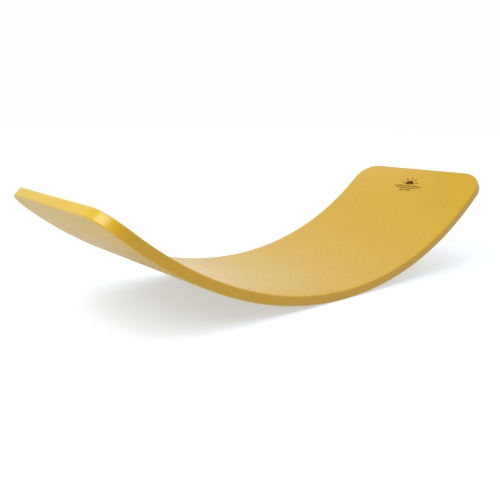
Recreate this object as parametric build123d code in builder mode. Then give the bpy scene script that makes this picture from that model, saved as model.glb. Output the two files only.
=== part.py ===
from build123d import *
import os
from math import cos, degrees, radians, sin

# Curved balance board of moulded plywood. Cross-banded veneers are glued and pressed round a mould,
# the curved blank is milled to its outline with rounded corners and edges, lacquered, and printed
# with a small mark on the deck at one end. Millimetres.
# Frame: the origin is the lowest point of the underside, at mid-width, where the board touches the
# floor. +X runs along the board towards the end with the mark, +Y across it, and +Z is up.

# Board
board_width = 300.0
board_thickness = 16.0
outer_radius = 605.0  # underside, which rolls on the floor
half_arc = 456.0  # middle of the board to one end, along the middle of the thickness
corner_radius = 43.0  # the four corners of the outline
edge_round = 2.5  # every edge of the deck and of the underside
ply_count = 11  # odd, so that both face veneers have their grain along the board

# Printed mark: a half sun with rays above three wavy lines
film_thickness = 0.2
mark_to_end = 48.0  # centre of the mark to the end of the board, along the deck
horizon_height = 0.5  # flat side of the sun above the centre of the mark
sun_radius = 10.5
ray_inner = 13.5  # distances from the middle of the sun's flat side
ray_outer = 19.5
ray_width = 2.4
ray_count = 5
lowest_ray = 18.0  # angle of the first and the last ray above the flat side
half_wave = 9.0  # length of each rise and each dip of a wavy line
wave_rise = 1.6
wave_line = 2.0
wave_heights = (-5.2, -10.9, -16.6)  # from the centre of the mark
wave_counts = (7, 5, 3)  # rises and dips in each line, with a rise in the middle

# Worked out from the above
inner_radius = outer_radius - board_thickness
half_angle = degrees(half_arc / (outer_radius - board_thickness / 2))
ply_thickness = board_thickness / ply_count
mark_angle = half_angle - degrees(mark_to_end / inner_radius)
ray_middle = (ray_inner + ray_outer) / 2
tool_overrun = 20.0  # how far a cut runs past the board


def layer_outline(deck_side, floor_side, reach):
    """Side view of a curved layer between two radii about the bending axis, to an angle each way."""
    bending_axis = (0, outer_radius)
    with BuildSketch(Plane.XZ) as side_view:
        with BuildLine():
            upper = CenterArc(bending_axis, deck_side, 270 - reach, 2 * reach)
            lower = CenterArc(bending_axis, floor_side, 270 - reach, 2 * reach)
            Line(upper @ 0, lower @ 0)
            Line(upper @ 1, lower @ 1)
        make_face()
    return side_view.sketch


def wave_centreline(height, half_waves):
    """Middle of a wavy line of the mark, from arcs that rise and dip in turn."""
    left = -half_waves * half_wave / 2
    with BuildLine() as centreline:
        for number in range(half_waves):
            start = (left + number * half_wave, height)
            end = (left + (number + 1) * half_wave, height)
            SagittaArc(start, end, -wave_rise * (-1) ** (number - half_waves // 2))
    return centreline.wire()


os.makedirs("parts", exist_ok=True)

# The whole milled board, from which each ply takes the layer between its glue lines
with BuildPart() as board:
    extrude(layer_outline(inner_radius, outer_radius, half_angle), amount=board_width / 2, both=True)
    ends = board.faces().filter_by(GeomType.PLANE).sort_by(Axis.X)
    corners = [
        edge
        for end in (ends[0], ends[-1])
        for edge in end.edges().filter_by(Axis.Y, reverse=True)
    ]
    fillet(corners, corner_radius)
    broad_faces = board.faces().sort_by(SortBy.AREA)[-2:]
    fillet(broad_faces.edges(), edge_round)

# Veneers, numbered from the deck down to the underside
pieces = []
for number in range(1, ply_count + 1):
    deck_side = inner_radius + (number - 1) * ply_thickness
    layer = layer_outline(deck_side, deck_side + ply_thickness, half_angle + 5)
    with BuildPart() as ply:
        add(board.part)
        extrude(layer, amount=board_width / 2 + tool_overrun, both=True, mode=Mode.INTERSECT)
    if number == 1:
        ply.part.label = "deck_face_veneer"
    elif number == ply_count:
        ply.part.label = "underside_face_veneer"
    else:
        ply.part.label = f"core_veneer_{number:02d}"
    pieces.append(ply.part)

# Printed mark, a film of ink on the deck, with its top towards the end of the board
mark_plane = Plane(
    origin=(
        inner_radius * sin(radians(mark_angle)),
        0,
        outer_radius - inner_radius * cos(radians(mark_angle)),
    ),
    x_dir=(0, -1, 0),
    z_dir=(-sin(radians(mark_angle)), 0, cos(radians(mark_angle))),
)
waves = [wave_centreline(height, count) for height, count in zip(wave_heights, wave_counts)]
film_layer = layer_outline(inner_radius - film_thickness, inner_radius, half_angle)
with BuildPart() as mark:
    with BuildSketch(mark_plane):
        with Locations((0, horizon_height)):
            Circle(sun_radius)
            with Locations((0, -sun_radius)):
                Rectangle(2 * sun_radius, 2 * sun_radius, mode=Mode.SUBTRACT)
            with PolarLocations(ray_middle, ray_count, lowest_ray, 180 - 2 * lowest_ray, endpoint=True):
                SlotOverall(ray_outer - ray_inner, ray_width)
        for wave in waves:
            SlotArc(wave, wave_line)
    extrude(amount=tool_overrun, both=True)
    extrude(film_layer, amount=board_width / 2, both=True, mode=Mode.INTERSECT)
mark.part.label = "printed_mark"
pieces.append(mark.part)

for piece in pieces:
    export_step(piece, f"parts/{piece.label}.step")

size = board.part.bounding_box().size
print(f"board {size.X:.1f} x {size.Y:.1f} x {size.Z:.1f} mm, {ply_count} plies of {ply_thickness:.3f} mm")
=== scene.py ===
import math

import bmesh
import bpy
import numpy as np
from mathutils import Matrix, Vector


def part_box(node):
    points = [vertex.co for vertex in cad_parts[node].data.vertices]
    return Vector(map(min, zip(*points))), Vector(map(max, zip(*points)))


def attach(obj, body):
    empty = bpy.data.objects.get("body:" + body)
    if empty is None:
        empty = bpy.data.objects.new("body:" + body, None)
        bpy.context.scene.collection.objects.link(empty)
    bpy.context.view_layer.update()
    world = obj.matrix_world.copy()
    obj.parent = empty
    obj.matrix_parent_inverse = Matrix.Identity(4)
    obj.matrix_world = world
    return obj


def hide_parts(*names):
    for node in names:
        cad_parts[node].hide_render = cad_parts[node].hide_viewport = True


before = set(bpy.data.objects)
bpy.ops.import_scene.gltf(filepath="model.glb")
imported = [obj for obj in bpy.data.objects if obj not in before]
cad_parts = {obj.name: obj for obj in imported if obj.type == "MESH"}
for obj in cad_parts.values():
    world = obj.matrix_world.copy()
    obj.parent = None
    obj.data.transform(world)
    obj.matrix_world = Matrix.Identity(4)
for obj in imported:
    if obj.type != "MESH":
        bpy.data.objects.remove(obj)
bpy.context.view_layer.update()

# Curved balance board of lacquered moulded plywood. Metres. The frame's origin is the lowest point of
# the underside, +X runs along the board towards the end with the printed mark, and +Z is up.

# Board, as in the CAD model
half_width = 0.150
thickness = 0.016
outer_radius = 0.605
half_arc = 0.456
corner_radius = 0.043
edge_round = 0.0025
ply_count = 11

inner_radius = outer_radius - thickness
half_angle = half_arc / (outer_radius - thickness / 2)
ply_thickness = thickness / ply_count
corner_centre = half_width - corner_radius

# Printed mark: a half sun with rays above three wavy lines
mark_to_end = 0.048
horizon_height = 0.0005
sun_radius = 0.0105
ray_inner, ray_outer, ray_width = 0.0135, 0.0195, 0.0024
ray_count, lowest_ray = 5, math.radians(18)
half_wave, wave_rise, wave_line = 0.009, 0.0016, 0.0020
wave_heights = (-0.0052, -0.0109, -0.0166)
wave_counts = (7, 5, 3)
ink_thickness = 0.00012

# Mesh steps, and the fine grooves where the glue lines meet the edge
corner_rows = 20
straight_rows = 84
columns = 28
round_steps = 10
groove_depth = 0.00005
groove_half_width = 0.00007
groove_tilt = math.radians(35)

# Mesh steps of the mark: round line ends, each half wave and the sun's quarter circle
line_end_steps = 8
half_wave_steps = 8
sun_steps = 12
weld_distance = 1e-6


def on_board(angle, y, radius):
    """The point at an angle from the bottom of the arc, a place across the board and a radius."""
    return (radius * math.sin(angle), y, outer_radius - radius * math.cos(angle))


def unrolled(angle, y, radius):
    """Distance along the board, across it and below the deck."""
    return (angle * inner_radius, y, radius - inner_radius)


def edge_inset(depth):
    """How far the rounded edges draw the outline in at a depth below the deck."""
    short = max(0.0, edge_round - min(depth, thickness - depth))
    return edge_round - math.sqrt(edge_round**2 - short**2)


def edge_lean(depth):
    """Angle of the edge's surface from the wall's: -90 degrees on the deck, 90 on the underside."""
    if depth < edge_round:
        return -math.asin(1 - depth / edge_round)
    if depth > thickness - edge_round:
        return math.asin(1 - (thickness - depth) / edge_round)
    return 0.0


def stations(radius, inset):
    """Rows of the half of the board from its end to its middle: angle, half width, turn of the wall."""
    rows = []
    for step in range(corner_rows):
        turn = step / corner_rows * math.pi / 2
        to_end = corner_radius - (corner_radius - inset) * math.cos(turn)
        side = corner_centre + (corner_radius - inset) * math.sin(turn)
        rows.append((half_angle - math.asin(to_end / radius), side, turn))
    straight = half_angle - math.asin(corner_radius / radius)
    for step in range(straight_rows + 1):
        rows.append((straight * (1 - step / straight_rows), half_width - inset, math.pi / 2))
    return rows


def board_rows(radius, inset):
    """All rows, from the -X end to the +X end."""
    half = stations(radius, inset)
    return [(-a, w, t) for a, w, t in half] + [(a, w, t) for a, w, t in reversed(half[:-1])]


row_count = 2 * (corner_rows + straight_rows) + 1


def rim_order():
    """Row and column of each point of the outline, anticlockwise seen from above."""
    last_row, last_column = row_count - 1, columns
    rim = [(row, 0) for row in range(last_row)]
    rim += [(last_row, column) for column in range(last_column)]
    rim += [(row, last_column) for row in range(last_row, 0, -1)]
    rim += [(0, column) for column in range(last_column, 0, -1)]
    return rim


class Shell:
    """A mesh in the making, with its smooth normals and its place on the unrolled board."""

    def __init__(self):
        self.points, self.flat, self.faces, self.normals, self.materials = [], [], [], [], []

    def grid(self, radius, inset):
        """One broad surface as rows of points; returns the index of each."""
        index = []
        for angle, width, _ in board_rows(radius, inset):
            row = []
            for column in range(columns + 1):
                y = width * (2 * column / columns - 1)
                row.append(len(self.points))
                self.points.append(on_board(angle, y, radius))
                self.flat.append(unrolled(angle, y, radius))
            index.append(row)
        return index

    def ring(self, radius, inset):
        """One line round the edge; returns the index of each point."""
        rows = board_rows(radius, inset)
        index = []
        for row, column in rim_order():
            angle, width, _ = rows[row]
            y = width * (2 * column / columns - 1)
            index.append(len(self.points))
            self.points.append(on_board(angle, y, radius))
            self.flat.append(unrolled(angle, y, radius))
        return index

    def face(self, corners, normals, material):
        self.faces.append(corners)
        self.normals.extend(normals)
        self.materials.append(material)


def deck_normal(angle):
    return Vector((-math.sin(angle), 0, math.cos(angle)))


def rim_normals(radius, inset, lean):
    """Outward normals round the edge, leaning up or down from the wall's by an angle."""
    rows = board_rows(radius, inset)
    normals = []
    for row, column in rim_order():
        angle, _, turn = rows[row]
        end = math.copysign(1, angle)
        at_end = row in (0, row_count - 1)
        across = 0 if at_end else math.sin(turn) * (1 if column else -1)
        along = math.cos(turn) * end
        wall = Vector((along * math.cos(half_angle), across, along * end * math.sin(half_angle)))
        up = deck_normal(angle)
        normals.append((wall * math.cos(lean) - up * math.sin(lean)).normalized())
    return normals


def depths_of(number):
    """Depth, extra inset and lean of each line round the edge of a ply, from its top to its bottom."""
    top, bottom = (number - 1) * ply_thickness, number * ply_thickness
    lines = {top, bottom}
    for step in range(round_steps + 1):
        rise = edge_round * (1 - math.cos(step / round_steps * math.pi / 2))
        lines |= {rise, thickness - rise}
    groove_top = number > 1
    groove_bottom = number < ply_count
    low = top + groove_half_width * groove_top
    high = bottom - groove_half_width * groove_bottom
    slack = 1e-9
    inner = sorted(d for d in lines | {low, high} if low - slack <= d <= high + slack)
    clean = [inner[0]]
    for d in inner[1:]:
        if d - clean[-1] > groove_half_width / 2:
            clean.append(d)
    clean[-1] = high
    lines = [(d, 0.0, edge_lean(d)) for d in clean]
    if groove_top:
        lines.insert(0, (top, groove_depth, edge_lean(top) - groove_tilt))
    if groove_bottom:
        lines.append((bottom, groove_depth, edge_lean(bottom) + groove_tilt))
    return lines


def make_piece(name, points, faces, normals, materials, slots, flat):
    """A mesh object with its own smooth normals and an attribute that unrolls it."""
    mesh = bpy.data.meshes.new(name)
    mesh.from_pydata(points, [], faces)
    mesh.update()
    for slot in slots:
        mesh.materials.append(slot)
    mesh.polygons.foreach_set("material_index", materials)
    mesh.polygons.foreach_set("use_smooth", [True] * len(faces))
    place = mesh.attributes.new("unrolled", "FLOAT_VECTOR", "POINT")
    place.data.foreach_set("vector", np.array(flat, dtype=np.float32).ravel())
    if normals:
        mesh.normals_split_custom_set(normals)
    piece = bpy.data.objects.new(name, mesh)
    bpy.context.scene.collection.objects.link(piece)
    return piece


def make_ply(name, number, slots):
    """One veneer. Its materials: 0 lacquer of deck and edges, 1 glued wood, 2 lacquer of underside."""
    lines = depths_of(number)
    shell = Shell()
    rings, leans = [], []
    for depth, extra, lean in lines:
        rings.append((inner_radius + depth, edge_inset(depth) + extra))
        leans.append(lean)
    tops = shell.grid(*rings[0])
    bottoms = shell.grid(*rings[-1])
    rows_top = board_rows(*rings[0])
    rows_bottom = board_rows(*rings[-1])
    for row in range(row_count - 1):
        for column in range(columns):
            for grid, rows, sign, material in (
                (tops, rows_top, 1, 0 if number == 1 else 1),
                (bottoms, rows_bottom, -1, 2 if number == ply_count else 1),
            ):
                corners = [
                    grid[row][column],
                    grid[row + 1][column],
                    grid[row + 1][column + 1],
                    grid[row][column + 1],
                ]
                ups = [deck_normal(rows[r][0]) * sign for r in (row, row + 1, row + 1, row)]
                if sign < 0:
                    corners.reverse()
                    ups.reverse()
                shell.face(corners, ups, material)
    rim = rim_order()
    loops = [[tops[r][c] for r, c in rim]]
    loops += [shell.ring(*ring) for ring in rings[1:-1]]
    loops.append([bottoms[r][c] for r, c in rim])
    normals = [rim_normals(*ring, lean) for ring, lean in zip(rings, leans)]
    count = len(rim)
    for upper, lower, upper_n, lower_n in zip(loops, loops[1:], normals, normals[1:]):
        for i in range(count):
            j = (i + 1) % count
            shell.face(
                [upper[i], lower[i], lower[j], upper[j]],
                [upper_n[i], lower_n[i], lower_n[j], upper_n[j]],
                0,
            )
    return make_piece(
        name, shell.points, shell.faces, shell.normals, shell.materials, slots, shell.flat
    )


def round_end(x, y, facing, half):
    """Half of a disc that closes the end of a line, in the direction it faces."""
    steps = range(line_end_steps + 1)
    turns = [facing + math.pi * (step / line_end_steps - 0.5) for step in steps]
    return [(x + half * math.cos(turn), y + half * math.sin(turn)) for turn in turns]


def wavy_line(height, half_waves):
    """Shapes of a wavy line with round ends, flat on the deck: across the mark and up it."""
    radius = (half_wave**2 / 4 + wave_rise**2) / (2 * wave_rise)
    sweep = math.asin(half_wave / 2 / radius)
    centre = []
    for number in range(half_waves):
        sign = (-1) ** (number - half_waves // 2)
        middle = (number + 0.5 - half_waves / 2) * half_wave
        for step in range(half_wave_steps + (number == half_waves - 1)):
            lean = sweep * (2 * step / half_wave_steps - 1)
            rise = sign * (radius * math.cos(lean) - radius + wave_rise)
            centre.append((middle + radius * math.sin(lean), height + rise, -sign * lean))
    half = wave_line / 2
    lower = [(x + half * math.sin(a), y - half * math.cos(a)) for x, y, a in centre]
    upper = [(x - half * math.sin(a), y + half * math.cos(a)) for x, y, a in centre]
    shapes = [
        [lower[i], lower[i + 1], upper[i + 1], upper[i]] for i in range(len(centre) - 1)
    ]
    first, last = centre[0], centre[-1]
    shapes.append(round_end(first[0], first[1], first[2] + math.pi, half))
    shapes.append(round_end(last[0], last[1], last[2], half))
    return shapes


def ray(angle):
    """Shape of one short ray of the sun, a bar with round ends."""
    half = ray_width / 2
    outline = []
    for reach, facing in ((ray_outer - half, angle), (ray_inner + half, angle + math.pi)):
        x, y = reach * math.cos(angle), horizon_height + reach * math.sin(angle)
        outline += round_end(x, y, facing, half)
    return outline


def half_sun():
    """Shapes of the half disc, flat side down, in level strips."""
    turns = [math.pi / 2 * step / sun_steps for step in range(sun_steps)]
    rows = [(sun_radius * math.cos(a), horizon_height + sun_radius * math.sin(a)) for a in turns]
    strips = [
        [(-low_x, low_y), (low_x, low_y), (high_x, high_y), (-high_x, high_y)]
        for (low_x, low_y), (high_x, high_y) in zip(rows, rows[1:])
    ]
    last_x, last_y = rows[-1]
    return strips + [[(-last_x, last_y), (last_x, last_y), (0, horizon_height + sun_radius)]]


def make_mark(name, material):
    """The ink, a thin film of small convex shapes that follows the curve of the deck."""
    spread = (math.pi - 2 * lowest_ray) / (ray_count - 1)
    shapes = half_sun() + [ray(lowest_ray + spread * number) for number in range(ray_count)]
    for height, count in zip(wave_heights, wave_counts):
        shapes += wavy_line(height, count)
    bed = bmesh.new()
    for shape in shapes:
        bed.faces.new([bed.verts.new((x, y, 0)) for x, y in shape])
    bmesh.ops.remove_doubles(bed, verts=bed.verts[:], dist=weld_distance)
    printed = bmesh.ops.extrude_face_region(bed, geom=bed.faces[:])
    for vertex in printed["geom"]:
        if isinstance(vertex, bmesh.types.BMVert):
            vertex.co.z = ink_thickness
    bmesh.ops.recalc_face_normals(bed, faces=bed.faces[:])
    mark_angle = half_angle - mark_to_end / inner_radius
    bed.verts.index_update()
    flat = []
    for vertex in bed.verts:
        across, up, rise = vertex.co
        angle = mark_angle + math.asin(up / inner_radius)
        flat.append(unrolled(angle, -across, inner_radius - rise))
        vertex.co = on_board(angle, -across, inner_radius - rise)
    points = [tuple(vertex.co) for vertex in bed.verts]
    faces = [[vertex.index for vertex in face.verts] for face in bed.faces]
    bed.free()
    piece = make_piece(name, points, faces, None, [0] * len(faces), [material], flat)
    piece.data.polygons.foreach_set("use_smooth", [False] * len(faces))
    return piece


# ---- Materials ---------------------------------------------------------------------------------


class Nodes:
    """A material's node tree with short ways to add and join nodes."""

    def __init__(self, name):
        self.material = bpy.data.materials.new(name)
        self.material.use_nodes = True
        self.tree = self.material.node_tree
        self.shader = self.tree.nodes["Principled BSDF"]

    def add(self, kind, **settings):
        node = self.tree.nodes.new(kind)
        for key, value in settings.items():
            setattr(node, key, value)
        return node

    def join(self, output, socket):
        self.tree.links.new(output, socket)

    def place(self, scale):
        """The unrolled place on the board, in metres, times a scale on each axis."""
        source = self.add("ShaderNodeAttribute", attribute_name="unrolled")
        mapping = self.add("ShaderNodeMapping")
        mapping.inputs["Scale"].default_value = scale
        self.join(source.outputs["Vector"], mapping.inputs["Vector"])
        return mapping.outputs["Vector"]

    def noise(self, scale, detail=3.0, roughness=0.5, distortion=0.0):
        node = self.add("ShaderNodeTexNoise")
        node.inputs["Scale"].default_value = 1.0
        node.inputs["Detail"].default_value = detail
        node.inputs["Roughness"].default_value = roughness
        node.inputs["Distortion"].default_value = distortion
        self.join(self.place(scale), node.inputs["Vector"])
        return node.outputs["Fac"]

    def remap(self, value, low, high, to_low, to_high):
        node = self.add("ShaderNodeMapRange")
        node.inputs["From Min"].default_value = low
        node.inputs["From Max"].default_value = high
        node.inputs["To Min"].default_value = to_low
        node.inputs["To Max"].default_value = to_high
        self.join(value, node.inputs["Value"])
        return node.outputs["Result"]

    def along_and_depth(self):
        """Distance along the unrolled board and depth below the deck."""
        source = self.add("ShaderNodeAttribute", attribute_name="unrolled")
        axes = self.add("ShaderNodeSeparateXYZ")
        self.join(source.outputs["Vector"], axes.inputs["Vector"])
        return axes.outputs["X"], axes.outputs["Z"]

    def math(self, operation, first, second=0.0):
        """One arithmetic step on a socket and a socket or a number."""
        node = self.add("ShaderNodeMath", operation=operation)
        self.join(first, node.inputs[0])
        if isinstance(second, float):
            node.inputs[1].default_value = second
        else:
            self.join(second, node.inputs[1])
        return node.outputs["Value"]

    def blend_colours(self, factor, first, second):
        node = self.add("ShaderNodeMix", data_type="RGBA")
        self.join(factor, node.inputs["Factor"])
        for socket, value in (("A", first), ("B", second)):
            target = next(s for s in node.inputs if s.name == socket and s.type == "RGBA")
            if isinstance(value, tuple):
                target.default_value = (*value, 1.0)
            else:
                self.join(value, target)
        return next(s for s in node.outputs if s.type == "RGBA")

    def bump(self, heights):
        """Stacked bumps, each a height from 0 to 1 and its full depth in metres."""
        normal = None
        for height, depth in heights:
            node = self.add("ShaderNodeBump")
            node.inputs["Strength"].default_value = 1.0
            node.inputs["Distance"].default_value = depth
            self.join(height, node.inputs["Height"])
            if normal is not None:
                self.join(normal, node.inputs["Normal"])
            normal = node.outputs["Normal"]
        self.join(normal, self.shader.inputs["Normal"])


def lacquer(name, smooth, rough, specular):
    """Opaque golden-yellow satin lacquer over veneer, whose grain shows faintly through it, with
    painted shade on its long edges and painted light on its two ends.
    """
    m = Nodes(name)
    cloud = m.remap(m.noise((9, 14, 30), detail=4), 0.3, 0.7, 0, 1)
    colour = m.blend_colours(cloud, (0.415, 0.252, 0.0008), (0.435, 0.267, 0.0012))
    grain = m.noise((14, 420, 420), detail=4, roughness=0.6)
    streak = m.remap(grain, 0.35, 0.75, 0.0, 0.06)
    colour = m.blend_colours(streak, colour, (0.35, 0.19, 0.0005))
    # The long edges are painted deeper in colour than the deck, which is painted shade, and the two
    # ends a little paler, which is painted light. The bands follow the distance from the middle of the
    # thickness, which is 8 mm at the deck and underside.
    along, depth = m.along_and_depth()
    from_middle = m.math("ABSOLUTE", m.math("SUBTRACT", depth, thickness / 2))
    painted_shade_and_light_band = m.remap(from_middle, 0.0068, 0.0060, 0, 0.85)
    to_end = m.remap(m.math("ABSOLUTE", along), 0.425, 0.438, 0, 1)
    # Painted light on the two ends, painted shade on the long edges
    edge = m.blend_colours(to_end, (0.398, 0.215, 0.0006), (0.435, 0.292, 0.0014))
    colour = m.blend_colours(painted_shade_and_light_band, colour, edge)
    # Patches of the rounded edges are rubbed paler and duller
    rounding = m.math(
        "MULTIPLY",
        m.remap(from_middle, 0.0056, 0.0066, 0, 1),
        m.remap(from_middle, 0.0079, 0.0072, 0, 1),
    )
    patches = m.remap(m.noise((45, 45, 45), detail=5, roughness=0.65), 0.5, 0.68, 0, 1)
    rubbed = m.math("MULTIPLY", rounding, patches)
    colour = m.blend_colours(m.math("MULTIPLY", rubbed, 0.3), colour, (0.50, 0.34, 0.03))
    m.join(colour, m.shader.inputs["Base Color"])
    smear = m.remap(m.noise((35, 60, 90), detail=5, roughness=0.6), 0.3, 0.7, smooth, rough)
    m.join(m.math("ADD", smear, m.math("MULTIPLY", rubbed, 0.12)), m.shader.inputs["Roughness"])
    m.shader.inputs["IOR"].default_value = 1.42
    m.shader.inputs["Specular IOR Level"].default_value = specular
    peel = m.noise((500, 500, 500), detail=2)
    m.bump([(grain, 0.0000025), (peel, 0.000002)])
    return m.material


def veneer(name, along):
    """Bare peeled veneer on a glued face, with its grain along or across the board."""
    m = Nodes(name)
    stretch = (9, 420, 200) if along else (420, 9, 200)
    figure = m.noise(stretch, detail=6, roughness=0.6, distortion=0.4)
    colour = m.blend_colours(
        m.remap(figure, 0.3, 0.7, 0, 1), (0.42, 0.24, 0.11), (0.68, 0.47, 0.27)
    )
    m.join(colour, m.shader.inputs["Base Color"])
    m.join(m.remap(figure, 0.3, 0.7, 0.75, 0.6), m.shader.inputs["Roughness"])
    m.bump([(figure, 0.00006)])
    return m.material


def ink():
    """Dark brown screen-printed ink."""
    m = Nodes("brown_printing_ink")
    patch = m.noise((700, 700, 700), detail=4, roughness=0.65)
    colour = m.blend_colours(
        m.remap(patch, 0.35, 0.7, 0, 1), (0.062, 0.017, 0.001), (0.095, 0.029, 0.001)
    )
    m.join(colour, m.shader.inputs["Base Color"])
    m.join(m.remap(patch, 0.3, 0.7, 0.5, 0.62), m.shader.inputs["Roughness"])
    m.shader.inputs["Specular IOR Level"].default_value = 0.1
    m.bump([(patch, 0.00002)])
    return m.material


# ---- Pieces ------------------------------------------------------------------------------------

lacquer_coat = lacquer("yellow_satin_lacquer", 0.25, 0.32, 0.5)
floor_side_coat = lacquer("yellow_satin_lacquer_underside", 0.38, 0.45, 0.45)
wood_along = veneer("veneer_grain_along", True)
wood_across = veneer("veneer_grain_across", False)
brown_ink = ink()

ply_nodes = sorted(
    (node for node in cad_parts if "veneer" in node),
    key=lambda node: -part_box(node)[0][2],
)
for number, node in enumerate(ply_nodes, start=1):
    wood = wood_along if number % 2 else wood_across
    ply = make_ply(f"{node}_lacquered", number, [lacquer_coat, wood, floor_side_coat])
    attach(ply, "root")
    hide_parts(node)

mark = make_mark("printed_mark_inked", brown_ink)
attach(mark, "root")
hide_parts("printed_mark")


# ---- Camera, stage and light -------------------------------------------------------------------

camera_data = bpy.data.cameras.new("camera")
camera = bpy.data.objects.new("camera", camera_data)
bpy.context.scene.collection.objects.link(camera)
bpy.context.scene.camera = camera
camera_data.sensor_width = 36
camera_data.lens = 41.68
azimuth, elevation, roll = math.radians(-40.77), math.radians(12.78), math.radians(1.05)
target = Vector((-0.0463, 0.0321, 0.0536))
distance = 1.0190
back = Vector((
    math.sin(azimuth) * math.cos(elevation),
    -math.cos(azimuth) * math.cos(elevation),
    math.sin(elevation),
))
camera.location = target + back * distance
aim = (-back).to_track_quat("-Z", "Y").to_matrix().to_4x4()
camera.matrix_world = Matrix.Translation(camera.location) @ aim @ Matrix.Rotation(roll, 4, "Z")

floor_size = 12.0
floor_mesh = bpy.data.meshes.new("floor")
floor_mesh.from_pydata(
    [(x * floor_size, y * floor_size, 0) for x, y in ((-1, -1), (1, -1), (1, 1), (-1, 1))],
    [],
    [(0, 1, 2, 3)],
)
floor = bpy.data.objects.new("floor", floor_mesh)
bpy.context.scene.collection.objects.link(floor)

# The floor is a pale blue-grey sheet that glows a little, and more far away, so that it meets the white
# surroundings without a line.
# The glow is painted light that lightens the shadows under the board and is weaker near it; the cool
# tint of the sheet and of its glow is painted to cancel the yellow light the board throws on the floor.
glowing_floor = Nodes("white_paper")
glowing_floor.shader.inputs["Base Color"].default_value = (0.43, 0.46, 0.52, 1)
glowing_floor.shader.inputs["Roughness"].default_value = 0.9
glowing_floor.shader.inputs["Emission Color"].default_value = (0.92, 0.96, 1, 1)
place = glowing_floor.add("ShaderNodeNewGeometry")
reach = glowing_floor.add("ShaderNodeVectorMath", operation="LENGTH")
glowing_floor.join(place.outputs["Position"], reach.inputs[0])
glow = glowing_floor.remap(reach.outputs["Value"], 0.6, 2.5, 0.50, 0.67)
glowing_floor.join(glow, glowing_floor.shader.inputs["Emission Strength"])
floor_mesh.materials.append(glowing_floor.material)

world = bpy.data.worlds.new("studio")
world.use_nodes = True
world.node_tree.nodes["Background"].inputs["Color"].default_value = (0.99, 0.99, 0.99, 1)
world.node_tree.nodes["Background"].inputs["Strength"].default_value = 1.0
bpy.context.scene.world = world
bpy.context.scene.view_settings.view_transform = "Standard"


def softbox(name, place, aim_at, size, power):
    """A square area light."""
    data = bpy.data.lights.new(name, "AREA")
    data.shape = "SQUARE"
    data.size = size
    data.energy = power
    lamp = bpy.data.objects.new(name, data)
    lamp.location = place
    lamp.rotation_mode = "QUATERNION"
    lamp.rotation_quaternion = (Vector(aim_at) - Vector(place)).to_track_quat("-Z", "Y")
    bpy.context.scene.collection.objects.link(lamp)
    return lamp


board_middle = (0, 0, 0.08)
softbox("key", (-0.936, -0.32, 1.07), board_middle, 0.75, 12.3)
softbox("back", (0, 0.99, 1.07), board_middle, 0.8, 4.2)
softbox("side", (0.99, 0, 1.07), board_middle, 0.8, 1.5)
softbox("low_back", (0, 1.35, 0.44), board_middle, 0.8, 1.0)
